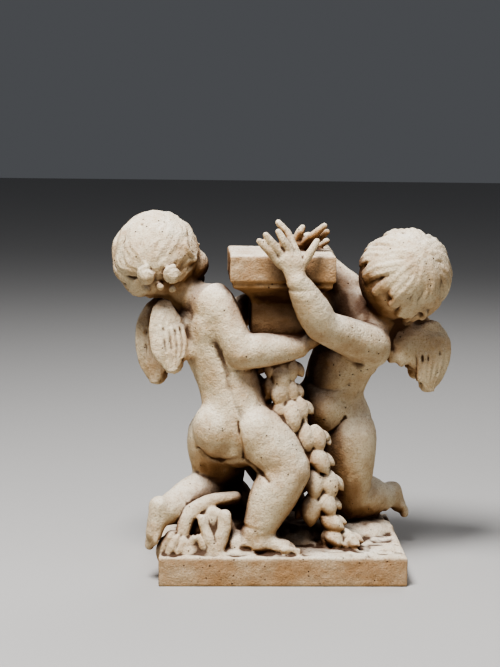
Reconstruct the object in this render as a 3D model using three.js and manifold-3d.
// Two winged putti kneel on a low rectangular plinth and carry a moulded block between them.
// A garland of leaves hangs from the block to the ground. All of it is cast in one piece.
// Millimetres, +Z up, +X to the viewer's right, +Y to the back. The origin is the middle of the underside.

import * as THREE from "three";
import { mergeVertices } from "three/addons/utils/BufferGeometryUtils.js";
import Module from "manifold-3d";

const wasm = await Module();
wasm.setup();

// The plinth
const PLINTH_WIDTH = 200;
const PLINTH_DEPTH = 144;
const PLINTH_HEIGHT = 24;
const PLINTH_WORN_EDGE = 2.2;

// The carried block: a square slab over a hollow moulding that narrows to a neck
const BLOCK_WIDTH = 85;
const BLOCK_DEPTH = 86;
const BLOCK_THICKNESS = 21;
const BLOCK_CHAMFER = 1.6;
const MOULDING_HEIGHT = 20;
const NECK_WIDTH = 50;
const NECK_HEIGHT = 24;

// The figures. Their points and thicknesses are hundredths of this height, from the plinth's top.
const CARVED_HEIGHT = 280;

// Finer or coarser facets
const LIMB_SIDES = 7;
const DETAIL_SIDES = 4;
const MASS_SIDES = 8;
const MASS_ROWS = 5;

// Hair, as locks round the head, rows from whorl to chin, the turn of the whorl and the locks' depth
const HAIR_LOCKS = 8;
const HAIR_ROWS = 9;
const HAIR_SWIRL = 0.45;
const HAIR_DEPTH = 12;

const STONE = { color: 0xd9c7ab, roughness: 0.92, metalness: 0 };

const share = (hundredths) => (hundredths * CARVED_HEIGHT) / 100;

/** A point of the carving, in hundredths of its height from the plinth's top. */
const at = (x, y, z) => new THREE.Vector3(share(x), share(y), PLINTH_HEIGHT + share(z));

const mix = (a, b, t) => a.clone().lerp(b, t);

const direction = (x, y, z) => new THREE.Vector3(x, y, z).normalize();

/** The part of a vector across an axis, at length 1. */
const across = (vector, axis) => vector.clone().addScaledVector(axis, -vector.dot(axis)).normalize();

/** A closed three.js geometry as a solid that can be joined and cut. */
function solid(geometry) {
  const bare = geometry.clone();
  bare.deleteAttribute("normal");
  bare.deleteAttribute("uv");
  const merged = mergeVertices(bare, 1e-4);
  return new wasm.Manifold(
    new wasm.Mesh({
      numProp: 3,
      vertProperties: new Float32Array(merged.attributes.position.array),
      triVerts: new Uint32Array(merged.index.array),
    }),
  );
}

/** Joins solids in pairs, which is quicker than one long chain. */
function join(solids) {
  let left = solids;
  while (left.length > 1) {
    const next = [];
    for (let i = 0; i < left.length; i += 2) {
      next.push(i + 1 < left.length ? left[i].add(left[i + 1]) : left[i]);
    }
    left = next;
  }
  return left[0];
}

/**
 * A rounded form along a curve: a sphere's rows are moved on to the curve's stations.
 * Each station is [point, radius in hundredths]. A side vector and flat below 1 make the section an oval.
 * The ends are round, or short points where round is false.
 */
function sweep(
  stations,
  { sides = LIMB_SIDES, steps = 1, side = null, flat = 1, blunt = 0.8, round = true } = {},
) {
  const curve = new THREE.CatmullRomCurve3(stations.map(([point]) => point), false, "centripetal");
  const last = stations.length - 1;
  const rows = [];
  for (let i = 0; i <= last * steps; i++) {
    const t = i / (last * steps);
    const near = Math.min(Math.floor(t * last), last - 1);
    const blend = THREE.MathUtils.smoothstep(t * last - near, 0, 1);
    const radius = share(THREE.MathUtils.lerp(stations[near][1], stations[near + 1][1], blend));
    rows.push({ centre: curve.getPoint(t), along: curve.getTangent(t), radius });
  }
  const cap = (row, sign) => {
    const end = (reach, width) => ({
      ...row,
      centre: row.centre.clone().addScaledVector(row.along, sign * row.radius * reach),
      radius: row.radius * width,
    });
    return round ? [end(blunt * 0.7, 0.7), end(blunt, 0)] : [end(blunt, 0)];
  };
  const all = [...cap(rows[0], -1).reverse(), ...rows, ...cap(rows[rows.length - 1], 1)];

  const skin = new THREE.SphereGeometry(1, sides, all.length - 1);
  const position = skin.getAttribute("position");
  const isLevel = Math.abs(all[0].along.z) < 0.8;
  let wide = side ?? (isLevel ? new THREE.Vector3(0, 0, 1) : new THREE.Vector3(1, 0, 0));
  all.forEach(({ centre, along, radius }, row) => {
    wide = across(wide, along);
    const deep = new THREE.Vector3().crossVectors(along, wide);
    for (let column = 0; column <= sides; column++) {
      const angle = ((column % sides) / sides) * Math.PI * 2;
      const point = centre.clone();
      point.addScaledVector(wide, -Math.cos(angle) * radius);
      point.addScaledVector(deep, Math.sin(angle) * radius * flat);
      position.setXYZ(row * (sides + 1) + column, point.x, point.y, point.z);
    }
  });
  return solid(skin);
}

/** An egg-shaped mass. Its radii, in hundredths, run along front, left and up. */
function mass(centre, [front, left, up], frame, { sides = MASS_SIDES, rows = MASS_ROWS } = {}) {
  const ball = new THREE.SphereGeometry(1, sides, rows);
  ball.rotateX(Math.PI / 2);
  ball.scale(share(front), share(left), share(up));
  const turn = new THREE.Matrix4().makeBasis(frame.front, frame.left, frame.up);
  turn.setPosition(centre);
  ball.applyMatrix4(turn);
  return solid(ball);
}

/** Three directions at right angles from a body's right-to-left line and a rough up. */
function frameFrom(leftward, upward = new THREE.Vector3(0, 0, 1)) {
  const left = leftward.clone().normalize();
  const up = across(upward, left);
  return { front: new THREE.Vector3().crossVectors(left, up), left, up };
}

/** A block whose outline steps in and out with height. Each level is [inset, height]. */
function moulded(width, depth, levels) {
  const box = new THREE.BoxGeometry(1, 1, 1, 1, levels.length - 1, 1);
  box.rotateX(Math.PI / 2);
  const position = box.getAttribute("position");
  for (let i = 0; i < position.count; i++) {
    const level = Math.round((position.getZ(i) + 0.5) * (levels.length - 1));
    const [inset, height] = levels[level];
    position.setXYZ(
      i,
      Math.sign(position.getX(i)) * (width / 2 - inset),
      Math.sign(position.getY(i)) * (depth / 2 - inset),
      height,
    );
  }
  return solid(box);
}

/** The low rectangular plinth, with worn edges. */
function plinth() {
  return moulded(PLINTH_WIDTH, PLINTH_DEPTH, [
    [0, 0],
    [0, PLINTH_HEIGHT - PLINTH_WORN_EDGE],
    [PLINTH_WORN_EDGE * 0.7, PLINTH_HEIGHT],
  ]);
}

const BLOCK_TOP = at(0, 0, 85.6).z;
const BLOCK_MIDDLE_X = share(-0.7);

/** The carried block, its hollow moulding and the neck under it. */
function carriedBlock() {
  const slabBottom = BLOCK_TOP - BLOCK_THICKNESS;
  const neckTop = slabBottom - MOULDING_HEIGHT;
  const neckInset = (BLOCK_WIDTH - NECK_WIDTH) / 2;
  const hollow = [0.98, 0.72, 0.45, 0.2, 0.06].map((rise, i) => [
    neckInset * (1 - i / 4.6),
    neckTop + MOULDING_HEIGHT * (1 - rise),
  ]);
  const block = moulded(BLOCK_WIDTH, BLOCK_DEPTH, [
    [neckInset + 2, neckTop - NECK_HEIGHT],
    [neckInset, neckTop - NECK_HEIGHT + 3],
    ...hollow,
    [0, slabBottom],
    [0, BLOCK_TOP - BLOCK_CHAMFER],
    [BLOCK_CHAMFER, BLOCK_TOP],
  ]);
  return block.translate(BLOCK_MIDDLE_X, 0, 0);
}

/** Rough ground on the plinth: low mounds, each [x, y, half-width, half-depth, height] in hundredths. */
const MOUNDS = [
  [1, 2, 27, 16, 4.2],
  [-31, -18, 6.6, 6.6, 6.4],
  [22, 7, 14, 12, 3.8],
  [-18, 5, 12, 11, 7.6],
];

function ground() {
  const flatFrame = frameFrom(new THREE.Vector3(0, 1, 0));
  return MOUNDS.map(([x, y, wide, deep, high], i) => {
    const turn = new THREE.Vector3(Math.sin(i * 1.9) * 0.3, 1, 0);
    const frame = i % 2 ? frameFrom(turn) : flatFrame;
    return mass(at(x, y, 0), [wide, deep, high], frame, { sides: 8, rows: 5 });
  });
}

/** A hand: a flat palm and its fingers, each finger a list of points. */
function hand({ wrist, palm, knuckleLine, fingers, fingerRadius = 1.45 }) {
  const palmForm = [[wrist, 2.7], [palm, 3.5], [mix(palm, fingers[1][0], 0.7), 3.2]];
  const forms = [sweep(palmForm, { sides: 6, side: knuckleLine, flat: 0.62, round: false })];
  for (const finger of fingers) {
    const stations = finger.map((point, i) => [point, fingerRadius * (1 - 0.12 * i)]);
    forms.push(sweep(stations, { sides: DETAIL_SIDES, round: false }));
  }
  return forms;
}

/** Fingers for a hand that isn't placed point by point: they fan from the palm and bend towards a grip. */
function fannedFingers(palm, reach, knuckleLine, grip) {
  const fingers = [];
  for (let i = 0; i < 4; i++) {
    const spread = (i - 1.5) / 1.5;
    const base = palm.clone().addScaledVector(reach, share(2.2));
    base.addScaledVector(knuckleLine, share(spread * 2.4));
    const middle = base.clone().addScaledVector(reach, share(3));
    middle.addScaledVector(knuckleLine, share(spread * 0.8));
    const tip = middle.clone().addScaledVector(reach, share(1.6)).addScaledVector(grip, share(2));
    fingers.push([base, middle, tip]);
  }
  const thumbBase = palm.clone().addScaledVector(knuckleLine, share(2.8));
  const thumbMiddle = thumbBase.clone().addScaledVector(knuckleLine, share(2));
  thumbMiddle.addScaledVector(reach, share(1.4));
  fingers.push([thumbBase, thumbMiddle, thumbMiddle.clone().addScaledVector(reach, share(2.2))]);
  return fingers;
}

/** A foot from heel to toes: the heel, the sole, the instep, the great toe and the ridge of small toes. */
function foot(ankle, heel, ball, toeTip, acrossToes) {
  const forward = toeTip.clone().sub(ball);
  const instep = mix(mix(ankle, ball, 0.5), mix(heel, ball, 0.55), 0.4);
  const toe = (offset, length, radius) => {
    const start = ball.clone().addScaledVector(acrossToes, share(offset));
    return sweep([[start, radius], [start.clone().addScaledVector(forward, length), radius * 0.9]], {
      sides: DETAIL_SIDES,
      side: acrossToes,
      round: false,
    });
  };
  return [
    sweep([[mix(ankle, heel, 0.4), 3.9], [heel, 3.1], [mix(heel, ball, 0.55), 2.8], [ball, 3.1]], {
      side: acrossToes,
      flat: 0.78,
    }),
    sweep([[ankle, 3], [instep, 3.2], [ball, 2.4]], { sides: 6, side: acrossToes, flat: 0.9, round: false }),
    toe(-2.1, 1, 1.5),
    toe(-0.2, 0.86, 1.2),
    toe(1.5, 0.66, 1.2),
  ];
}

/** The trunk: pelvis, belly, chest, seat, and the fat over the ribs. */
function trunk(pose) {
  const hips = frameFrom(pose.hipL.clone().sub(pose.hipR));
  const shoulders = frameFrom(pose.shoulderL.clone().sub(pose.shoulderR));
  const middle = frameFrom(hips.left.clone().add(shoulders.left));
  const place = (centre, frame, front, left, up) =>
    centre
      .clone()
      .addScaledVector(frame.front, share(front))
      .addScaledVector(frame.left, share(left))
      .addScaledVector(frame.up, share(up));
  const spine = [
    [place(pose.pelvis, hips, 0, 0, -5.4), 8.8],
    [pose.pelvis, 10.6],
    [pose.waist, 9.4],
    [pose.chest, 10],
    [mix(pose.chest, pose.neck, 0.62), 8.2],
    [pose.neck, 4.8],
  ];
  const forms = [
    sweep(spine, { sides: 10, side: middle.left, flat: 0.96 }),
    mass(place(mix(pose.pelvis, pose.waist, 0.6), middle, pose.belly, 0, 0), [9, 9, 9.2], middle),
    mass(place(pose.chest, shoulders, 3, 0, 1.6), [6.6, 8.4, 6.4], shoulders),
  ];
  for (const buttock of pose.seat) {
    forms.push(mass(buttock, [7.4, 7.2, 8.2], hips, { sides: 9, rows: 6 }));
  }
  return forms;
}

/** Both arms to the wrist and both legs to the ankle, with the fat of a small child. */
function limbs(pose) {
  const forms = [];
  for (const s of ["L", "R"]) {
    const shoulder = pose[`shoulder${s}`];
    const elbow = pose[`elbow${s}`];
    const wrist = pose[`wrist${s}`];
    const hip = pose[`hip${s}`];
    const knee = pose[`knee${s}`];
    const ankle = pose[`ankle${s}`];
    const shinLine = ankle.clone().sub(knee);
    const calfSide = hip.clone().sub(knee).cross(shinLine).cross(shinLine).normalize();
    const calf = mix(knee, ankle, 0.4).addScaledVector(calfSide, share(-0.7));
    const hidden = mix(pose.chest, shoulder, 0.42);
    const root = mix(pose.pelvis, hip, 0.4);
    const upperArm = [[hidden, 6.6], [shoulder, 6.2], [mix(shoulder, elbow, 0.5), 5.8], [elbow, 5]];
    const forearm = [[elbow, 5], [mix(elbow, wrist, 0.35), 5.1], [mix(elbow, wrist, 0.75), 4], [wrist, 3.1]];
    const thigh = [[root, 8.4], [hip, 8.4], [mix(hip, knee, 0.5), 8], [knee, 6.3]];
    const shin = [[knee, 6.3], [calf, 6.8], [mix(knee, ankle, 0.8), 5.1], [ankle, 4.2]];
    forms.push(sweep(upperArm, { round: false }), sweep(forearm, { round: false }));
    forms.push(sweep(thigh, { round: false }), sweep(shin, { round: false }));
  }
  return forms;
}

/** A head frame and a way to place points on it, in hundredths of the head's own half height. */
function headFrame(head) {
  const front = head.face.clone().normalize();
  const up = across(head.crown, front);
  const left = new THREE.Vector3().crossVectors(up, front);
  const frame = { front, left, up };
  const place = (f, l, u) =>
    head.centre
      .clone()
      .addScaledVector(front, (share(head.radius) * f) / 100)
      .addScaledVector(left, (share(head.radius) * l) / 100)
      .addScaledVector(up, (share(head.radius) * u) / 100);
  const part = (size) => (head.radius * size) / 100;
  return { frame, place, part };
}

/** The skull, face, ears and neck of a small child, calm and with round cheeks. */
function headAndFace(pose) {
  const { frame, place, part } = headFrame(pose.head);
  const egg = (f, l, u, sizes, detail) => mass(place(f, l, u), sizes.map(part), frame, detail);
  const small = { sides: 5, rows: 4 };
  const noseBridge = [[place(78, 0, -4), part(10)], [place(98, 0, -34), part(13)]];
  const lips = [[place(80, 24, -62), part(7)], [place(90, 0, -60), part(11)], [place(80, -24, -62), part(7)]];
  const throat = mix(place(-14, 0, -60), pose.neck, 0.6);
  const neck = [[place(-14, 0, -30), part(44)], [throat, part(38)], [pose.neck, part(38)]];
  const forms = [
    egg(24, 0, -34, [64, 68, 60]),
    egg(62, 0, -78, [28, 30, 22], small),
    sweep(noseBridge, { sides: DETAIL_SIDES, round: false }),
    sweep(lips, { sides: DETAIL_SIDES, round: false }),
    sweep(neck),
  ];
  for (const s of [-1, 1]) {
    forms.push(egg(42, s * 36, -46, [38, 34, 36], { sides: 6, rows: 5 }));
    forms.push(egg(-4, s * 84, -20, [14, 14, 24], small));
  }
  return forms;
}

/**
 * The back of the skull under thick locks of hair, which turn out of a whorl. The locks are ridges of one
 * rounded form: every second column of it stands up, and the columns change places down the head.
 */
function hair(pose) {
  const { head } = pose;
  const { frame, place, part } = headFrame(head);
  const whorl = head.whorl.clone().normalize();
  const east = across(frame.left, whorl);
  const north = new THREE.Vector3().crossVectors(east, whorl);
  const columns = HAIR_LOCKS * 2;
  const cap = new THREE.SphereGeometry(1, columns, HAIR_ROWS);
  const position = cap.getAttribute("position");
  for (let row = 0; row <= HAIR_ROWS; row++) {
    const polar = (row / HAIR_ROWS) * Math.PI;
    for (let column = 0; column <= columns; column++) {
      const around = ((column % columns) / columns) * Math.PI * 2 + HAIR_SWIRL * polar;
      const direction = whorl
        .clone()
        .multiplyScalar(Math.cos(polar))
        .addScaledVector(east, -Math.sin(polar) * Math.cos(around))
        .addScaledVector(north, Math.sin(polar) * Math.sin(around));
      const isFace = direction.dot(frame.front) > 0.4 && direction.dot(frame.up) < 0.62;
      const isNeck = direction.dot(frame.up) < -0.7;
      const ridge = (column + Math.floor(row / 3)) % 2 ? 1 : -1;
      const step = row % 3 === 1 ? 1 : 0;
      const inside = row > 0 && row < HAIR_ROWS;
      const lift = isFace || isNeck ? 0 : HAIR_DEPTH * (inside ? 0.62 + 0.38 * ridge + 0.2 * step : 0.3);
      const point = place(
        -8 + direction.dot(frame.front) * (92 + lift),
        direction.dot(frame.left) * (87 + lift),
        8 + direction.dot(frame.up) * (88 + lift),
      );
      position.setXYZ(row * (columns + 1) + column, point.x, point.y, point.z);
    }
  }
  const curls = head.curls.map(([f, l, u, size]) =>
    mass(place(f, l, u), [size, size, size].map(part), frame, { sides: 6, rows: 5 }),
  );
  return [solid(cap), ...curls];
}

/**
 * A wing: a broad pad of down, a lobe of long feathers that hangs from it, and the thick edge round them.
 * The tips of the feathers scallop the end of the lobe.
 */
function wing({ pad, lobe, edge, tips, outward }) {
  const down = pad[pad.length - 1][0].clone().sub(pad[0][0]);
  const acrossPad = new THREE.Vector3().crossVectors(down, outward);
  const hang = lobe[lobe.length - 1][0].clone().sub(lobe[0][0]);
  const acrossLobe = new THREE.Vector3().crossVectors(hang, outward);
  const forms = [
    sweep(pad, { sides: 6, side: acrossPad.normalize(), flat: 0.42, round: false }),
    sweep(lobe, { sides: 6, side: acrossLobe.normalize(), flat: 0.34, round: false }),
    sweep(edge.map((point, i) => [point, 2.5 - 0.26 * i]), { sides: DETAIL_SIDES, round: false }),
  ];
  const start = lobe[1][0];
  for (const tip of tips) {
    const run = tip.clone().sub(start).normalize();
    const feather = [[mix(start, tip, 0.3), 1.2], [mix(start, tip, 0.72), 2.1], [tip, 1.3]];
    const raised = feather.map(([point, radius]) => [
      point.clone().addScaledVector(outward, share(0.6)),
      radius,
    ]);
    const flatSide = new THREE.Vector3().crossVectors(run, outward).normalize();
    forms.push(sweep(raised, { sides: DETAIL_SIDES, side: flatSide, flat: 0.7, blunt: 0.5, round: false }));
  }
  return forms;
}

/** A pointed leaf with a swollen middle. */
function leaf(base, tip, side, width) {
  const stations = [[base, width * 0.5], [mix(base, tip, 0.42), width], [tip, width * 0.15]];
  return sweep(stations, { sides: DETAIL_SIDES, side, flat: 0.6, round: false });
}

/** The garland: leaves in pairs, laid over each other down a cord from the block to the ground. */
const GARLAND_PATH = [
  at(-0.8, -6.5, 58),
  at(-0.6, -8.4, 50.3),
  at(0.7, -9.4, 43.5),
  at(2.8, -10, 37.6),
  at(6.7, -10, 31.7),
  at(9.8, -9.8, 25),
  at(11.2, -9.8, 18),
  at(12.3, -10.2, 11.2),
  at(15.6, -11.6, 5.6),
  at(20.4, -14.3, 1.6),
];
const LEAF_LENGTH = 8.4;
const LEAF_WIDTH = 2.7;

/** Where the leaves lie, as [middle, where the tip points, size]. */
const LEAVES = [
  [at(-0.7, -10.8, 49.3), direction(0, -0.1, -1), 1],
  [at(-1.3, -11.4, 44.9), direction(-0.1, -0.1, -1), 1],
  [at(-0.7, -11.8, 39.9), direction(0.1, -0.1, -1), 0.9],
  [at(5.2, -11, 40.4), direction(0.35, -0.1, -1), 0.9],
  [at(2.8, -12.8, 38.2), direction(0.15, -0.15, -1), 1.1],
  [at(6.7, -12.6, 31.9), direction(0.15, -0.1, -1), 1.05],
  [at(10.2, -12, 31.7), direction(0.3, -0.1, -1), 1],
  [at(6.3, -12, 26.6), direction(0.1, -0.1, -1), 0.9],
  [at(10.9, -12.8, 25.4), direction(0.7, -0.15, -1), 1.1],
  [at(9.3, -13, 18.3), direction(0.1, -0.1, -1), 1.1],
  [at(14.1, -12.4, 18.3), direction(0.25, -0.1, -1), 1.05],
  [at(8.5, -13.2, 10.6), direction(-0.05, -0.1, -1), 1.2],
  [at(13.5, -13.2, 12.4), direction(0.5, -0.1, -1), 1],
  [at(15, -13.6, 7.2), direction(1, -0.3, -0.55), 1],
  [at(15.4, -14, 3), direction(0.4, -0.5, -0.8), 1],
  [at(20.2, -14.4, 1.8), direction(0.8, -0.8, -0.2), 1.05],
];

function garland() {
  const forms = [sweep(GARLAND_PATH.map((point) => [point, 2.3]), { sides: 5, round: false })];
  for (const [middle, run, size] of LEAVES) {
    const half = share((LEAF_LENGTH * size) / 2);
    const base = middle.clone().addScaledVector(run, -half);
    const tip = middle.clone().addScaledVector(run, half);
    const sideways = new THREE.Vector3().crossVectors(run, direction(0, -1, 0.2)).normalize();
    forms.push(leaf(base, tip, sideways, LEAF_WIDTH * size));
  }
  return forms;
}

/** A crumpled cloth on the ground: a thick rolled loop and the folds that fall from it. */
function drapery() {
  const right = direction(1, 0, 0);
  const back = direction(0, 1, 0);
  const fold = (stations, side, flat) => sweep(stations, { sides: 6, side, flat, round: false });
  const loop = [
    [at(-27.6, -19.4, 3), 2.4],
    [at(-27.4, -18.8, 8.4), 2.8],
    [at(-24.6, -17.4, 12.2), 2.9],
    [at(-19.6, -15.2, 14), 2.8],
    [at(-13.6, -12, 14.2), 2.4],
  ];
  const innerFold = [[at(-25.4, -20.2, 11), 1.1], [at(-23.2, -21.4, 7), 2.4], [at(-20.6, -22.4, 0.4), 2.2]];
  const outerFold = [[at(-18.6, -18.8, 13), 1.8], [at(-17.8, -20, 7), 2.6], [at(-17.4, -21.4, 0.2), 2.8]];
  const hem = [[at(-28.6, -20.6, 4.2), 1.3], [at(-25.4, -21.6, 5.2), 1.5], [at(-22.2, -23, 0.4), 1.5]];
  return [
    fold(loop, back, 0.8),
    fold(innerFold, right, 0.55),
    fold(outerFold, right, 0.55),
    fold(hem, right, 0.7),
    mass(at(-20.4, -16, 2), [7.4, 5, 9.6], frameFrom(back), { sides: 7, rows: 5 }),
  ];
}

/** Everything that makes one putto. */
function putto(pose) {
  return [
    ...trunk(pose),
    ...limbs(pose),
    ...headAndFace(pose),
    ...hair(pose),
    ...foot(pose.ankleR, pose.heelR, pose.ballR, pose.toeR, pose.toesAcrossR),
    ...foot(pose.ankleL, pose.heelL, pose.ballL, pose.toeL, pose.toesAcrossL),
    ...hand(pose.handR),
    ...hand(pose.handL),
    ...wing(pose.wingNear),
    ...wing(pose.wingFar),
  ];
}

/** The left putto kneels with their back to the viewer and looks away to the right. */
const LEFT_PUTTO = {
  pelvis: at(-12.9, -7.6, 35),
  waist: at(-15.4, -6.4, 47),
  chest: at(-20.4, -4.4, 60.4),
  neck: at(-25.6, -3.6, 71.6),
  shoulderR: at(-20.6, -8.9, 71.2),
  elbowR: at(-12.6, -14.3, 57.6),
  wristR: at(4.8, -10.4, 58.6),
  shoulderL: at(-27.4, 4.6, 68),
  elbowL: at(-18.6, 14.2, 60.5),
  wristL: at(-6.2, 17.4, 69.5),
  hipR: at(-7, -11.8, 33.2),
  kneeR: at(2.2, -15.7, 23.6),
  ankleR: at(-8.2, -18.2, 4.4),
  heelR: at(-10.3, -18.8, 2.7),
  ballR: at(0.6, -20.4, 1.6),
  toeR: at(4.4, -20.6, 1.1),
  toesAcrossR: direction(0.12, 1, 0.05),
  hipL: at(-19.4, -4.4, 31.4),
  kneeL: at(-17.2, 4.2, 12.6),
  ankleL: at(-34, -17.6, 11.6),
  heelL: at(-36.2, -19.6, 14),
  ballL: at(-37.2, -20.2, 5.6),
  toeL: at(-37.6, -20.9, 1.6),
  toesAcrossL: direction(0.35, -0.9, 0),
  head: {
    centre: at(-35.2, -1.6, 84.6),
    radius: 14.4,
    face: direction(0.63, 0.72, 0.24),
    crown: direction(-0.5, 0.1, 0.86),
    whorl: direction(-0.8, -0.46, 0.38),
    curls: [
      [-70, 6, -44, 15],
      [-64, -28, -48, 15],
    ],
  },
  handR: {
    wrist: at(4.8, -10.4, 58.6),
    palm: at(9.6, -8.2, 61.6),
    knuckleLine: direction(0, -0.6, 0.8),
    fingers: fannedFingers(
      at(9.6, -8.2, 61.6),
      direction(0.7, 0.5, 0.5),
      direction(0, -0.6, 0.8),
      direction(-0.2, 0.8, 0.4),
    ),
  },
  handL: {
    wrist: at(-6.2, 17.4, 69.5),
    palm: at(-2.4, 17.2, 75.4),
    knuckleLine: direction(1, 0, -0.3),
    fingers: fannedFingers(
      at(-2.4, 17.2, 75.4),
      direction(0.3, 0, 1),
      direction(1, 0, -0.3),
      direction(0, -0.9, 0.4),
    ),
  },
  belly: 3.4,
  seat: [at(-19.2, -10.4, 34.8), at(-8, -13.4, 34)],
  wingNear: {
    pad: [
      [at(-26.6, -7, 62), 4.2],
      [at(-31, -9.4, 62.6), 6],
      [at(-35, -12.2, 63), 4.8],
    ],
    lobe: [
      [at(-33.6, -10.6, 68.6), 3.4],
      [at(-33.4, -12, 63.4), 5.4],
      [at(-32.8, -13.4, 57.4), 5],
      [at(-31.8, -14.4, 53.2), 3],
    ],
    edge: [
      at(-26.4, -6, 66),
      at(-31, -8.4, 70),
      at(-35.8, -11.6, 69),
      at(-38.2, -14.4, 61.4),
      at(-35, -15, 53.4),
    ],
    tips: [at(-33.4, -15, 52), at(-29.4, -13.6, 53.8), at(-24.4, -9.4, 58)],
    outward: direction(0.4, -0.9, 0.1),
  },
  wingFar: {
    pad: [
      [at(-28.4, 1.2, 61.4), 4.4],
      [at(-33, 0.8, 61.4), 6],
      [at(-37.6, 0.2, 61.4), 4.8],
    ],
    lobe: [
      [at(-35.6, 0.8, 67.2), 3.4],
      [at(-38, 0.2, 62), 4.6],
      [at(-38, -0.6, 54.4), 4.8],
      [at(-36.4, -1.4, 47.6), 3.2],
    ],
    edge: [at(-27.4, 1.4, 66), at(-33, 2, 69.6), at(-39.6, 0.6, 67), at(-42, -0.6, 58.4), at(-39, -1.6, 47)],
    tips: [at(-37.6, -1.6, 45.2), at(-34.6, -1.2, 46.6), at(-32, -0.4, 50.6)],
    outward: direction(-0.1, 1, 0),
  },
};

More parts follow.
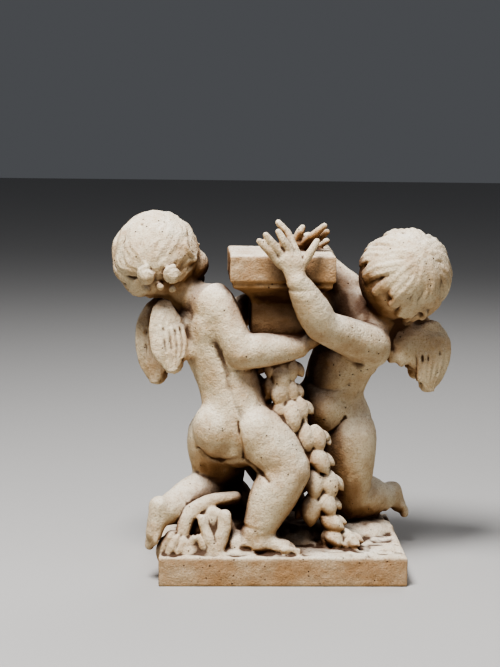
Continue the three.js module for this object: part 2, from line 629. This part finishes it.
/** The right putto kneels with their left side to the viewer, and bows the head on to the shoulder. */
const RIGHT_PUTTO = {
  pelvis: at(18.2, 7.2, 32.4),
  waist: at(17, 6, 42.6),
  chest: at(20.4, 4.4, 53.6),
  neck: at(27, 2.4, 63),
  shoulderL: at(26.2, -3.2, 58),
  elbowL: at(10.6, -15, 65.4),
  wristL: at(2.8, -19.4, 79),
  shoulderR: at(21.4, 16.6, 70),
  elbowR: at(13.4, 22.4, 79),
  wristR: at(8.4, 16.6, 87),
  hipL: at(20.8, 3.4, 30),
  kneeL: at(20.4, 4.6, 9.8),
  ankleL: at(34, 19.2, 7.2),
  heelL: at(36.8, 20.8, 9.4),
  ballL: at(38.6, 21.8, 4),
  toeL: at(39.4, 22.2, 1.4),
  toesAcrossL: direction(-0.5, 0.85, 0),
  hipR: at(12, 11.6, 32),
  kneeR: at(-2.4, 14.4, 24.4),
  ankleR: at(5.4, 19.4, 5.6),
  heelR: at(8.4, 19.8, 3),
  ballR: at(-3, 20.6, 2),
  toeR: at(-7, 20.6, 1.5),
  toesAcrossR: direction(-0.12, -1, 0),
  head: {
    centre: at(35.8, 0.6, 77.6),
    radius: 14.6,
    face: direction(-0.8, 0.2, -0.56),
    crown: direction(-0.55, -0.62, 0.48),
    whorl: direction(0.22, -0.74, 0.64),
    curls: [],
  },
  handL: {
    wrist: at(2.8, -19.4, 79),
    palm: at(1.6, -19, 83.4),
    knuckleLine: direction(-0.9, 0, -0.25),
    fingers: [
      [at(-2.2, -18.8, 84), at(-5.3, -19.6, 87.7), at(-8, -20, 90.2)],
      [at(-0.9, -18.8, 85.6), at(-3.9, -19.6, 89.1), at(-6.2, -20, 92)],
      [at(1, -18.8, 86.6), at(-1, -19.4, 90.2), at(-2.6, -19.4, 92.9)],
      [at(2.6, -18, 87), at(0.2, -16.8, 92), at(-2.5, -16.2, 95.2)],
      [at(4.4, -19, 83), at(6.8, -18.6, 87.2), at(8.6, -17.6, 90.2)],
    ],
  },
  handR: {
    wrist: at(8.4, 16.6, 87),
    palm: at(5, 5, 88),
    knuckleLine: direction(1, -0.3, 0),
    fingers: [
      [at(3.6, 1.4, 88), at(4.9, 0.4, 91), at(5.7, 0.6, 92.6)],
      [at(5.6, 1, 87.6), at(8.9, -2.2, 90.6), at(11.8, -3.4, 93.4)],
      [at(6.6, 2, 87), at(10.2, 0.2, 89.2), at(12.8, -0.4, 91.4)],
      [at(6.8, 5, 86.6), at(10.6, 6.2, 86.6), at(13.5, 7, 88)],
      [at(2.4, 4, 87.2), at(0.2, 1.6, 87.2), at(-1.4, -0.6, 86.6)],
    ],
  },
  belly: 5.6,
  seat: [at(20.6, 8, 32.4), at(18.8, 14, 33)],
  wingNear: {
    pad: [
      [at(31.6, 3, 56.4), 4],
      [at(36.4, 1.6, 57), 6],
      [at(42, 1, 58), 6.6],
      [at(46.6, 0.8, 58.4), 4.6],
    ],
    lobe: [
      [at(45.8, 0.8, 61.4), 3.4],
      [at(46, 0.9, 54.6), 4.8],
      [at(45.2, 1.1, 48.6), 4.4],
      [at(44.4, 1.2, 45), 3],
    ],
    edge: [at(30.4, 2.4, 60), at(38, 1.2, 63), at(46, 0.6, 63.8), at(49.6, 0.8, 56.4), at(47.4, 1.2, 46)],
    tips: [at(46.6, 1.2, 43.4), at(43.2, 1.2, 43.2), at(40.6, 1.2, 47.6)],
    outward: direction(0.12, -1, 0),
  },
  wingFar: {
    pad: [
      [at(29.6, 8.4, 58.4), 4],
      [at(34.4, 10, 58.8), 6],
      [at(40, 11.6, 59.6), 6.4],
      [at(44.8, 12.8, 59.4), 4.6],
    ],
    lobe: [
      [at(44, 12.6, 62), 3.4],
      [at(44.4, 13, 56), 4.8],
      [at(43.6, 13.2, 50.6), 4.4],
      [at(42.8, 13.2, 47.6), 3],
    ],
    edge: [
      at(28.4, 8.6, 62),
      at(36, 10.6, 64.8),
      at(44.4, 12.4, 65),
      at(47.8, 13.4, 57.4),
      at(45.6, 13.8, 48),
    ],
    tips: [at(44.8, 13.6, 46), at(41.4, 13, 46.4), at(38.8, 12.2, 50)],
    outward: direction(-0.25, 1, 0),
  },
};

const carving = join([
  plinth(),
  ...ground(),
  carriedBlock(),
  ...garland(),
  ...drapery(),
  ...putto(LEFT_PUTTO),
  ...putto(RIGHT_PUTTO),
]);

/**
 * The triangles of the outer skin, found by walking across shared edges.
 * Small sealed pockets that are left where forms meet are filled by dropping their triangles.
 */
function outerSkin(corners) {
  const owners = new Map();
  const edgeKey = (a, b) => (a < b ? `${a},${b}` : `${b},${a}`);
  const edgesOf = (triangle) => {
    const [a, b, c] = corners.subarray(triangle * 3, triangle * 3 + 3);
    return [edgeKey(a, b), edgeKey(b, c), edgeKey(c, a)];
  };
  const count = corners.length / 3;
  for (let triangle = 0; triangle < count; triangle++) {
    for (const edge of edgesOf(triangle)) {
      owners.set(edge, [...(owners.get(edge) ?? []), triangle]);
    }
  }
  const seen = new Uint8Array(count);
  let largest = [];
  for (let start = 0; start < count; start++) {
    if (seen[start]) continue;
    const skin = [start];
    seen[start] = 1;
    for (const triangle of skin) {
      for (const neighbour of edgesOf(triangle).flatMap((edge) => owners.get(edge))) {
        if (seen[neighbour]) continue;
        seen[neighbour] = 1;
        skin.push(neighbour);
      }
    }
    if (skin.length > largest.length) largest = skin;
  }
  return largest.flatMap((triangle) => [...corners.subarray(triangle * 3, triangle * 3 + 3)]);
}

/** A solid as a named three.js mesh of stone. */
function stoneMesh(name, body) {
  const { vertProperties, triVerts } = body.getMesh();
  const geometry = new THREE.BufferGeometry();
  geometry.setAttribute("position", new THREE.BufferAttribute(new Float32Array(vertProperties), 3));
  geometry.setIndex(outerSkin(triVerts));
  const mesh = new THREE.Mesh(mergeVertices(geometry, 1e-6), new THREE.MeshStandardMaterial(STONE));
  mesh.geometry.computeVertexNormals();
  mesh.name = name;
  return mesh;
}

const statue = new THREE.Group();
statue.add(stoneMesh("putti_group", carving));

export default statue;
